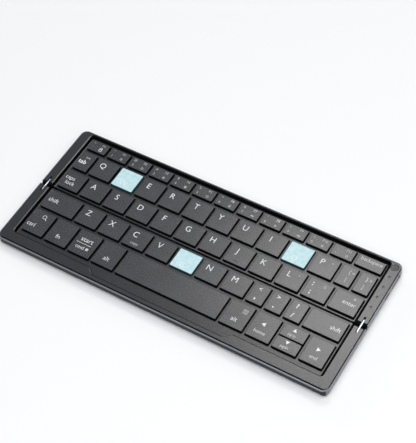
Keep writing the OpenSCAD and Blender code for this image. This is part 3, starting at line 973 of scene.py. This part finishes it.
@dataclass
class Keys:
    """All the keycaps, each on the body of its CAD node.

    Attributes:
        letters: What makes the printed words.
    """

    letters: Lettering = field(default_factory=Lettering)

    def footprints(self, node: str) -> list[tuple[Vector, Vector, float]]:
        """Finds the caps in a CAD node, from left to right.

        Args:
            node: The node's name.

        Returns:
            The lowest and highest corner of each cap, in millimetres, and how far its tabs
            stand out.
        """
        bm = bmesh.new()
        bm.from_mesh(frame["nodes"][node].data)
        bmesh.ops.remove_doubles(bm, verts=bm.verts, dist=1e-6)
        left, found = set(bm.verts), []
        while left:
            stack = [left.pop()]
            island = []
            while stack:
                vert = stack.pop()
                island.append(vert)
                for edge in vert.link_edges:
                    other = edge.other_vert(vert)
                    if other in left:
                        left.remove(other)
                        stack.append(other)
            top = max(v.co.z for v in island)
            upper = [v.co / MM for v in island if v.co.z > top - MM]
            low = Vector(min(co[i] for co in upper) for i in range(3))
            high = Vector(max(co[i] for co in upper) for i in range(3))
            low.z = min(v.co.z for v in island) / MM
            tabs = low.x - min(v.co.x for v in island) / MM
            found.append((low, high, tabs))
        bm.free()
        return sorted(found, key=lambda box: box[0].x)

    def caps(self, node: str) -> list[Keycap]:
        """Describes the caps of a node.

        Args:
            node: The node's name.

        Returns:
            Its keycaps.
        """
        boxes = self.footprints(node)
        if node == "front_small_keys":
            boxes.sort(key=lambda box: (box[0].y > -15, box[0].x))
        caps = []
        for index, (low, high, tabs) in enumerate(boxes):
            cap = Keycap(low, high, tabs, homing=node in ("key_f", "key_j"))
            if node == "number_row_keys":
                cap.marks = number_marks(index, cap.middle)
            elif node in BANK_MARKS:
                cap.marks = BANK_MARKS[node][index]
            elif node in WORD_MARKS:
                cap.marks = WORD_MARKS[node]
            elif node != "key_space":
                cap.marks = letter_marks(node[-1], cap.middle)
            caps.append(cap)
        return caps

    def build(self) -> None:
        """Builds and dresses every key."""
        for body, nodes in frame["record"]["behaviour"]["bodies"].items():
            for node in nodes:
                if node.startswith("key_") or node.endswith("_keys"):
                    self.dress(node, body)

    def dress(self, node: str, body: str) -> None:
        """Builds one node's caps and its print.

        Args:
            node: The node's name.
            body: Its body.
        """
        pale = node in ("key_w", "key_o", "key_b")
        caps = self.caps(node)
        shell = bmesh.new()
        ink = bmesh.new()
        for cap in caps:
            absorb(shell, cap.cap())
            if cap.homing:
                absorb(shell, cap.ridge(), material=0)
            cap.print_on(ink, self.letters)
        to_metres(shell)
        # the second finish is the painted shade on the caps' sides
        finishes = [Palette.PALE_KEY, Palette.PALE_SIDE_SHADE] if pale else [Palette.KEY, Palette.SHADE]
        piece = make_piece(f"{node}_cap", shell, finishes, body, "pale_key" if pale else "key")
        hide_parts(node)
        report(piece, "keycap")
        if not ink.verts:
            ink.free()
            return
        to_metres(ink)
        inks = [Palette.PALE_INK] if pale else [Palette.INK, Palette.FAINT_INK]
        legend = make_piece(f"{node}_print", ink, inks, body, "pale_key" if pale else "key")
        report(legend, "print")


def to_metres(bm: Mesh) -> None:
    """Scales a mesh in millimetres to metres.

    Args:
        bm: The mesh.
    """
    bmesh.ops.scale(bm, vec=(MM, MM, MM), verts=bm.verts)


# ------------------------------------------------------------------------------------------------
# Shells

FRAME_SIDE, FRAME_REAR, FRAME_FRONT = 104.0, 43.4, 42.75  # the frames' outer edges
RIM_TOP, RIM_FRONT, RIM_FRONT_INNER = 6.5, 44.2, 43.1  # the case's rim
CORNER = 4.0  # the radius of the outline's corners


def outward(point: Vector, normal: Vector) -> tuple[float, bool]:
    """Measures a point against the keyboard's rounded outline.

    Args:
        point: The point, in millimetres.
        normal: The direction that a surface faces there.

    Returns:
        The distance from the outline, and whether the surface faces out over it.
    """
    high = CAD_BOX[1] / MM
    over_x = abs(point.x) - (high.x - CORNER)
    over_y = abs(point.y) - (high.y - CORNER)
    if over_x > 0 and over_y > 0:
        way = Vector((over_x * math.copysign(1, point.x), over_y * math.copysign(1, point.y), 0))
        return CORNER - way.length, normal.dot(way) > 0.3 * way.length
    if over_x > over_y:
        return CORNER - over_x, normal.x * point.x > 0.3 * abs(point.x)
    return CORNER - over_y, normal.y * point.y > 0.3 * abs(point.y)


@dataclass
class Shell:
    """A moulded or cast piece with its CAD node's shape, softened edges and painted shade on its
    inner walls.

    Attributes:
        node: The CAD node.
        body: Its body.
        finish: Its finish.
        slot: The record's material slot.
        soft: Heights of the outer edges that are softened, with the width of each softening.
        extra: Its other finishes, which follow the painted shade.
        crease: The angle past which an edge is drawn sharp, in degrees.
    """

    node: str
    body: str
    finish: Palette
    slot: str
    soft: tuple[tuple[float, float], ...] = ()
    extra: tuple[Palette, ...] = ()
    crease: float = 7.0

    def copy(self) -> Mesh:
        """Gives a merged copy of the node's mesh, in millimetres and with flat faces joined."""
        bm = bmesh.new()
        bm.from_mesh(frame["nodes"][self.node].data)
        bmesh.ops.scale(bm, vec=(1 / MM,) * 3, verts=bm.verts)
        bmesh.ops.remove_doubles(bm, verts=bm.verts, dist=1e-4)
        bmesh.ops.dissolve_limit(bm, angle_limit=math.radians(0.4), verts=bm.verts,
                                 edges=bm.edges, use_dissolve_boundaries=False)
        bm.normal_update()
        return bm

    def zone(self, face: Face) -> int:
        """Chooses a face's finish.

        Args:
            face: A face of the shell.

        Returns:
            0 for the piece's own finish, 1 for the painted shade on the inner walls, 2 and up for
            the others.
        """
        return 0

    def rims(self, bm: Mesh) -> Iterator[tuple[list[Edge], float]]:
        """Finds the edges that are softened, one group after another.

        Args:
            bm: The shell's mesh.

        Yields:
            A group of edges, and the width of its softening.
        """
        for height, width in self.soft:
            yield [e for e in self.level_edges(bm, height)
                   if all(outward(v.co, v.normal)[0] < 3 for v in e.verts)], width

    def level_edges(self, bm: Mesh, height: float) -> list[Edge]:
        """Finds the sharp edges at one height.

        Args:
            bm: The shell's mesh.
            height: The height, in millimetres.

        Returns:
            The edges.
        """
        return [e for e in bm.edges if all(abs(v.co.z - height) < 0.02 for v in e.verts)
                and len(e.link_faces) == 2 and e.calc_face_angle(0.0) > math.radians(25)]

    def complete(self, bm: Mesh, kind: str, crease: float) -> bpy.types.Object:
        """Turns the finished mesh into the piece, which replaces the node.

        Args:
            bm: The mesh, in millimetres.
            kind: The last word of the piece's name.
            crease: The angle past which an edge is drawn sharp, in degrees.

        Returns:
            The piece.
        """
        to_metres(bm)
        # slot 1 is the painted shade
        finishes = [self.finish, Palette.SHADE, *self.extra]
        piece = make_piece(f"{self.node}_{kind}", bm, finishes, self.body, self.slot, crease)
        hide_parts(self.node)
        report(piece, kind)
        return piece

    def build(self) -> bpy.types.Object:
        """Builds the piece from its softened copy.

        Returns:
            The piece.
        """
        bm = self.copy()
        for face in bm.faces:
            face.material_index = self.zone(face)
        for rim, width in self.rims(bm):
            bmesh.ops.bevel(bm, geom=rim, offset=width, segments=3, profile=0.5,
                            affect="EDGES", material=-1, clamp_overlap=False)
        return self.complete(bm, "shell", self.crease)


def lean_strip(bm: Mesh, edges: list[Edge], width: float, height: float, shift: float) -> None:
    """Turns upper edges into narrow strips that lean.

    Args:
        bm: The shell's mesh.
        edges: The edges, which lie at one height.
        width: The width of the strips.
        height: The height of the strips' outer sides.
        shift: How far the strips are moved to the right.
    """
    cut = bmesh.ops.bevel(bm, geom=edges, offset=width, segments=1, profile=0.5,
                          affect="EDGES", material=-1)
    top = max(v.co.z for v in cut["verts"])
    for v in cut["verts"]:
        v.co.x += shift
        if v.co.z < top - 0.1:
            v.co.z = height
    bm.normal_update()


def near_edge(reach: float, edge: float, span: float = 4.0) -> float:
    """Measures how near a coordinate is to an outer edge.

    Args:
        reach: The coordinate.
        edge: The edge's own coordinate.
        span: The distance over which the nearness fades.

    Returns:
        1 at the edge and beyond it, and 0 from the span inwards.
    """
    return min(max(1 - (edge - reach) / span, 0.0), 1.0)


@dataclass
class Frame(Shell):
    """A top frame: its own finish above, and painted shade in its opening, on its walls and in the
    groove around it.

    Attributes:
        top: The height of its upper face.
        lip: The width of the strip along the opening's left edges, which leans to the right.
        sink: How far the strip's lower edge is sunk.
        spread: How far the frame reaches out at its front, its sides and its rear.
        nudge: How far the strip is moved over the opening.
    """

    top: float = 7.1
    lip: float = 0.3
    sink: float = 0.09
    spread: tuple[float, float, float] = (0.3, 0.3, 0.25)
    nudge: float = 0.26

    def copy(self) -> Mesh:
        """Gives the node's mesh, drawn out towards the rim and with a lip around the opening."""
        bm = super().copy()
        front, side, rear = self.spread
        for v in bm.verts:
            if outward(v.co, v.normal)[0] < 2.2 and v.co.z > 5:
                x, y = v.co.x, v.co.y
                v.co.x += math.copysign(side * near_edge(abs(x), FRAME_SIDE), x)
                v.co.y += rear * near_edge(y, FRAME_REAR) - front * near_edge(-y, FRAME_FRONT)
        left = [e for e in bm.edges if self._faces_right(e)]
        lean_strip(bm, left, self.lip, self.top - self.sink, self.nudge)
        return bm

    def _faces_right(self, edge: Edge) -> bool:
        """Tells whether an edge is an upper edge of the opening whose slant faces right."""
        if not all(abs(v.co.z - self.top) < 0.01 and abs(v.co.x) < 99.2
                   and outward(v.co, v.normal)[0] > 1.5 for v in edge.verts):
            return False
        slants = [f.normal for f in edge.link_faces if 0.3 < f.normal.z < 0.95]
        return bool(slants) and slants[0].x > 0.25

    def zone(self, face: Face) -> int:
        """Keeps the frame's finish on the upper faces and paints shade on all the others."""
        return 0 if face.normal.z > 0.9 and face.calc_center_median().z > 6.3 else 1


@dataclass
class Case(Shell):
    """A lower case: painted highlight on its rim and right side, painted shade on its front and
    undercut, and painted shade on its inside and the hinge's recesses.

    Attributes:
        lift: How far the rim rises beside the frame.
        shift: How far the rim's inner edge is moved out at the front.
    """

    lift: float = 0.4
    shift: float = 0.3

    def copy(self) -> Mesh:
        """Gives the node's mesh with its rim drawn up beside the frame, sloping at the front."""
        bm = super().copy()
        for v in bm.verts:
            distance = outward(v.co, v.normal)[0]
            if abs(v.co.z - RIM_TOP) > 0.02 or distance > 1.5:
                continue
            front = near_edge(-v.co.y, RIM_FRONT)
            if distance < 0.2:
                v.co.z += self.lift * (1 - 0.8 * front)
            else:
                v.co.z += self.lift
                v.co.y -= self.shift * near_edge(-v.co.y, RIM_FRONT_INNER)
        bm.normal_update()
        return bm

    def zone(self, face: Face) -> int:
        """Paints a highlight on the rim's top and the right-facing walls, and shade on the
        front-facing walls, the undercut and what lies within. The case alloy stays on the other
        outer walls.
        """
        middle = face.calc_center_median()
        distance, out = outward(middle, face.normal)
        # slots: 1 painted shade within, 2 painted shade on the undercut, 3 painted highlight on the
        # rim and right-facing walls, 4 painted shade on front-facing walls
        dark, underside_shade, rim, front = 1, 2, 3, 4
        if face.normal.z > 0.5:
            raised = middle.z > RIM_TOP - 0.1
            edge = all(outward(v.co, v.normal)[0] < 1.5 for v in face.verts)
            return rim if raised and edge else dark
        if face.normal.z < -0.3:
            return underside_shade if middle.z < 3.2 else dark
        if not out or distance >= 0.5:
            return dark
        if face.normal.y < -0.7:
            return front
        return rim if face.normal.x > 0.7 else 0


@dataclass
class Deck(Shell):
    """A key deck: the top of its grid keeps its own finish, and everything below it carries painted
    shade.

    Attributes:
        top: The height of the grid's top.
        seam: The width of the rounding along the fold.
        edge: The width of the rounding along the other edges.
        gap: The distance of the front and the rear grid from the fold line.
        line: How far the grid draws back from the frame's front edge, at the sides and in the dip.
        lip: The width and the height of the strip along the left edge, which leans to the right.
    """

    top: float = 5.4
    seam: float = 0.1
    edge: float = 0.1
    gap: tuple[float, float] = (0.4, 0.9)
    line: tuple[float, float] = (0.35, 0.22)
    lip: tuple[float, float] = (0.38, 0.058)

    def copy(self) -> Mesh:
        """Gives the node's mesh with a wider gap at the fold and a wider line along the front."""
        bm = super().copy()
        for v in bm.verts:
            if abs(v.co.y) < 0.5:
                v.co.y = self.gap[1] if v.co.y > 0 else -self.gap[0]
            elif v.co.z > self.top - 1.1 and v.co.y < -36:
                v.co.y += self.line[0] if v.co.y > -37 else self.line[1]
        left = [e for e in bm.edges
                if all(v.co.x < -96.5 and abs(v.co.z - self.top) < 0.01 for v in e.verts)]
        lean_strip(bm, left, self.lip[0], self.top + self.lip[1], 0.0)
        return bm

    def zone(self, face: Face) -> int:
        """Keeps the deck's finish on the grid's top and paints shade on everything else."""
        return 0 if face.normal.z > 0.9 and face.calc_center_median().z > self.top - 0.2 else 1

    def rims(self, bm: Mesh) -> Iterator[tuple[list[Edge], float]]:
        """Finds the edge along the fold, then the grid's edges beside the frame."""
        yield [e for e in self.level_edges(bm, self.top)
               if all(-0.5 < v.co.y < 0 for v in e.verts)], self.seam
        yield [e for e in self.level_edges(bm, self.top)
               if all(abs(v.co.y) > 1 for v in e.verts)], self.edge


@dataclass
class Fitting(Shell):
    """A small part with its CAD node's shape and softened edges.

    Attributes:
        edge: The width of the softening.
    """

    edge: float = 0.1
    crease: float = 50.0

    def build(self) -> bpy.types.Object:
        """Builds the piece with all its sharp edges softened."""
        bm = self.copy()
        sharp = [e for e in bm.edges if len(e.link_faces) == 2
                 and e.calc_face_angle(0.0) > math.radians(40)]
        bmesh.ops.bevel(bm, geom=sharp, offset=self.edge, segments=2, profile=0.5,
                        affect="EDGES", material=-1, clamp_overlap=True)
        bm.normal_update()
        for face in bm.faces:
            face.material_index = self.zone(face)
        return self.complete(bm, "part", self.crease)


@dataclass
class Links(Fitting):
    """The hinge's links: bright steel along their edges, with painted shade on their flanks."""

    def zone(self, face: Face) -> int:
        """Keeps the bright steel on the narrow band along each link's edge and paints shade on the
        flanks.
        """
        return 0 if abs(face.normal.x) < 0.6 else 2


@dataclass
class Lenses(Fitting):
    """The indicators' windows: a smoked disc in a rim of painted shade."""

    def zone(self, face: Face) -> int:
        """Paints shade on the rim around the disc."""
        return 0 if face.normal.z > 0.9 else 1


def paint_node(node: str, finish: Palette) -> None:
    """Gives a CAD node that stays its finish.

    Args:
        node: The node's name.
        finish: Its finish.
    """
    obj = frame["nodes"][node]
    material = finish.value.material()
    if not obj.material_slots:
        obj.data.materials.append(material)
    for slot in obj.material_slots:
        slot.material = material
    LOG.info("%s: CAD node, %s", node, finish.name.lower())


PAINTED_NODES: dict[str, Palette] = {
    "front_dome_sheet": Palette.SILICONE,
    "rear_dome_sheet": Palette.SILICONE,
}

FITTINGS: tuple[Fitting, ...] = (
    Links("hinge_links", "hinge_links", Palette.LINK, "hinge_steel", edge=0.12,
          extra=(Palette.FLANK_SHADE,)),
    Lenses("indicator_lenses", "rear_half", Palette.LENS, "lens", edge=0.14),
    Fitting("front_hinge_pins", "front_half", Palette.STEEL, "hinge_steel"),
    Fitting("rear_hinge_pins", "rear_half", Palette.STEEL, "hinge_steel"),
    Fitting("battery", "front_half", Palette.FOIL, "cell", edge=0.5),
    Fitting("main_board", "rear_half", Palette.BOARD, "board", edge=0.05),
    Fitting("charge_socket", "rear_half", Palette.SOCKET_SHADE, "socket_steel", edge=0.04),
    Fitting("power_slider", "power_slider", Palette.SWITCH, "frame", edge=0.12),
    Fitting("corner_bumper", "rear_half", Palette.BUMPER, "rubber", edge=0.25),
    Fitting("front_feet", "front_half", Palette.RUBBER, "rubber", edge=0.25),
    Fitting("rear_feet", "rear_half", Palette.RUBBER, "rubber", edge=0.25),
    Fitting("front_screws", "front_half", Palette.SCREW, "screw_steel", edge=0.08),
    Fitting("rear_screws", "rear_half", Palette.SCREW, "screw_steel", edge=0.08),
)


# ------------------------------------------------------------------------------------------------
# Studio


LAMPS: tuple[tuple[str, tuple[float, float, float], tuple[float, float], float, Colour], ...] = (
    ("rear_softbox", (-0.33, 0.84, 1.5), (0.36, 0.32), 4.6, (1, 0.985, 0.95)),
    ("top_softbox", (0.6, 0.1, 1.7), (1.25, 1.25), 13.5, (1, 0.98, 0.945)),
    ("front_softbox", (0.3, -0.8, 1.5), (1.2, 1.0), 13.5, (0.88, 0.93, 1)),
    ("side_softbox", (1.3, -0.5, 1.2), (0.6, 0.8), 4.6, (1, 1, 1)),
    ("window_strip", (-1.7, 0.8, 0.65), (0.5, 0.3), 3.8, (1, 1, 1)),
)


@dataclass
class Studio:
    """A pale floor, soft lamps and the camera at the photograph's angle.

    Attributes:
        eye: The camera's place, in millimetres.
        right: The direction of the picture's right side.
        down: The direction of its lower edge.
        focal: The focal length, in pixels of a picture 443 pixels high.
        picture_height: The picture's height, in pixels.
        sensor: The sensor's longer side, in millimetres.
        fill: The surroundings' strength on matt surfaces.
        fill_tint: The surroundings' colour.
    """

    eye: Vector = field(default_factory=lambda: Vector((254.66, -313.85, 568.09)))
    right: Vector = field(default_factory=lambda: Vector((0.85135, 0.51779, -0.08420)))
    down: Vector = field(default_factory=lambda: Vector((0.37365, -0.71119, -0.59548)))
    focal: float = 1261.99
    picture_height: float = 443.0
    sensor: float = 36.0
    fill: float = 0.15
    fill_tint: Colour = (0.84, 0.88, 1.0)

    def camera(self) -> None:
        """Makes the camera."""
        data = bpy.data.cameras.new("camera")
        data.sensor_width = self.sensor
        data.lens = self.focal / self.picture_height * self.sensor
        data.clip_start, data.clip_end = 0.01, 20
        obj = bpy.data.objects.new("camera", data)
        bpy.context.scene.collection.objects.link(obj)
        x = self.right.normalized()
        z = x.cross(-self.down).normalized()
        y = z.cross(x)
        turn = Matrix((x, y, z)).transposed().to_4x4()
        obj.matrix_world = Matrix.Translation(self.eye * MM) @ turn
        bpy.context.scene.camera = obj

    def lamp(self, name: str, place: tuple[float, float, float], size: tuple[float, float],
             watts: float, tint: Colour) -> None:
        """Makes a soft rectangular lamp that points at the keyboard's middle, in metres.

        Args:
            name: Its name.
            place: Where it stands.
            size: Its width and height.
            watts: Its power.
            tint: Its colour.
        """
        data = bpy.data.lights.new(name, "AREA")
        data.shape = "RECTANGLE"
        data.size, data.size_y = size
        data.energy = watts
        data.color = tint
        obj = bpy.data.objects.new(name, data)
        bpy.context.scene.collection.objects.link(obj)
        obj.location = place
        obj.rotation_mode = "QUATERNION"
        obj.rotation_quaternion = (-Vector(place)).to_track_quat("-Z", "Y")

    def floor(self) -> None:
        """Makes the pale floor, which keeps the object's shadow."""
        bm = bmesh.new()
        bmesh.ops.create_grid(bm, x_segments=1, y_segments=1, size=3.0)
        mesh = bpy.data.meshes.new("floor")
        bm.to_mesh(mesh)
        bm.free()
        recipe = Recipe("floor_paper")
        grain = recipe.noise(0.8, 3.0)
        recipe.set(
            Base_Color=recipe.ramp((0.935, 0.93, 0.92), (0.955, 0.95, 0.94), grain),
            Roughness=0.9,
        )
        mesh.materials.append(recipe.material)
        obj = bpy.data.objects.new("floor", mesh)
        bpy.context.scene.collection.objects.link(obj)

    def world(self) -> None:
        """Makes the pale surroundings, white to the camera and to reflections."""
        world = bpy.data.worlds.new("surroundings")
        world.use_nodes = True
        tree = world.node_tree
        back = tree.nodes["Background"]
        path = tree.nodes.new("ShaderNodeLightPath")
        seen = path.outputs["Is Camera Ray"]
        for kind in ("Is Glossy Ray", "Is Transmission Ray"):
            either = tree.nodes.new("ShaderNodeMath")
            either.operation = "MAXIMUM"
            tree.links.new(seen, either.inputs[0])
            tree.links.new(path.outputs[kind], either.inputs[1])
            seen = either.outputs[0]
        level = tree.nodes.new("ShaderNodeMapRange")
        tree.links.new(seen, level.inputs["Value"])
        level.inputs["To Min"].default_value = self.fill
        level.inputs["To Max"].default_value = 1.0
        tree.links.new(level.outputs[0], back.inputs["Strength"])
        tint = tree.nodes.new("ShaderNodeMix")
        tint.data_type = "RGBA"
        tree.links.new(path.outputs["Is Camera Ray"], tint.inputs[0])
        tint.inputs[6].default_value = (*self.fill_tint, 1)
        tint.inputs[7].default_value = (1, 1, 1, 1)
        tree.links.new(tint.outputs[2], back.inputs["Color"])
        bpy.context.scene.world = world

    def build(self) -> None:
        """Builds the whole studio."""
        self.camera()
        self.floor()
        self.world()
        for lamp in LAMPS:
            self.lamp(*lamp)
        bpy.context.scene.view_settings.view_transform = "Standard"


# ------------------------------------------------------------------------------------------------


def main() -> None:
    """Builds the keyboard's looks and the studio."""
    logging.basicConfig(level=logging.INFO, format="%(name)s %(message)s")
    Studio().build()
    for half in ("front", "rear"):
        Case(f"{half}_case", f"{half}_half", Palette.CASE, "case", ((6.9, 0.12), (3.0, 0.3)),
             (Palette.UNDERSIDE_SHADE, Palette.HIGHLIGHT_ALLOY, Palette.FRONT_SHADE)).build()
        Frame(f"{half}_frame", f"{half}_half", Palette.FRAME, "frame", ((7.1, 0.08),)).build()
        Deck(f"{half}_key_deck", f"{half}_half", Palette.DECK, "deck").build()
    for node, finish in PAINTED_NODES.items():
        paint_node(node, finish)
    for fitting in FITTINGS:
        fitting.build()
    Keys().build()


if __name__ == "__main__":
    main()
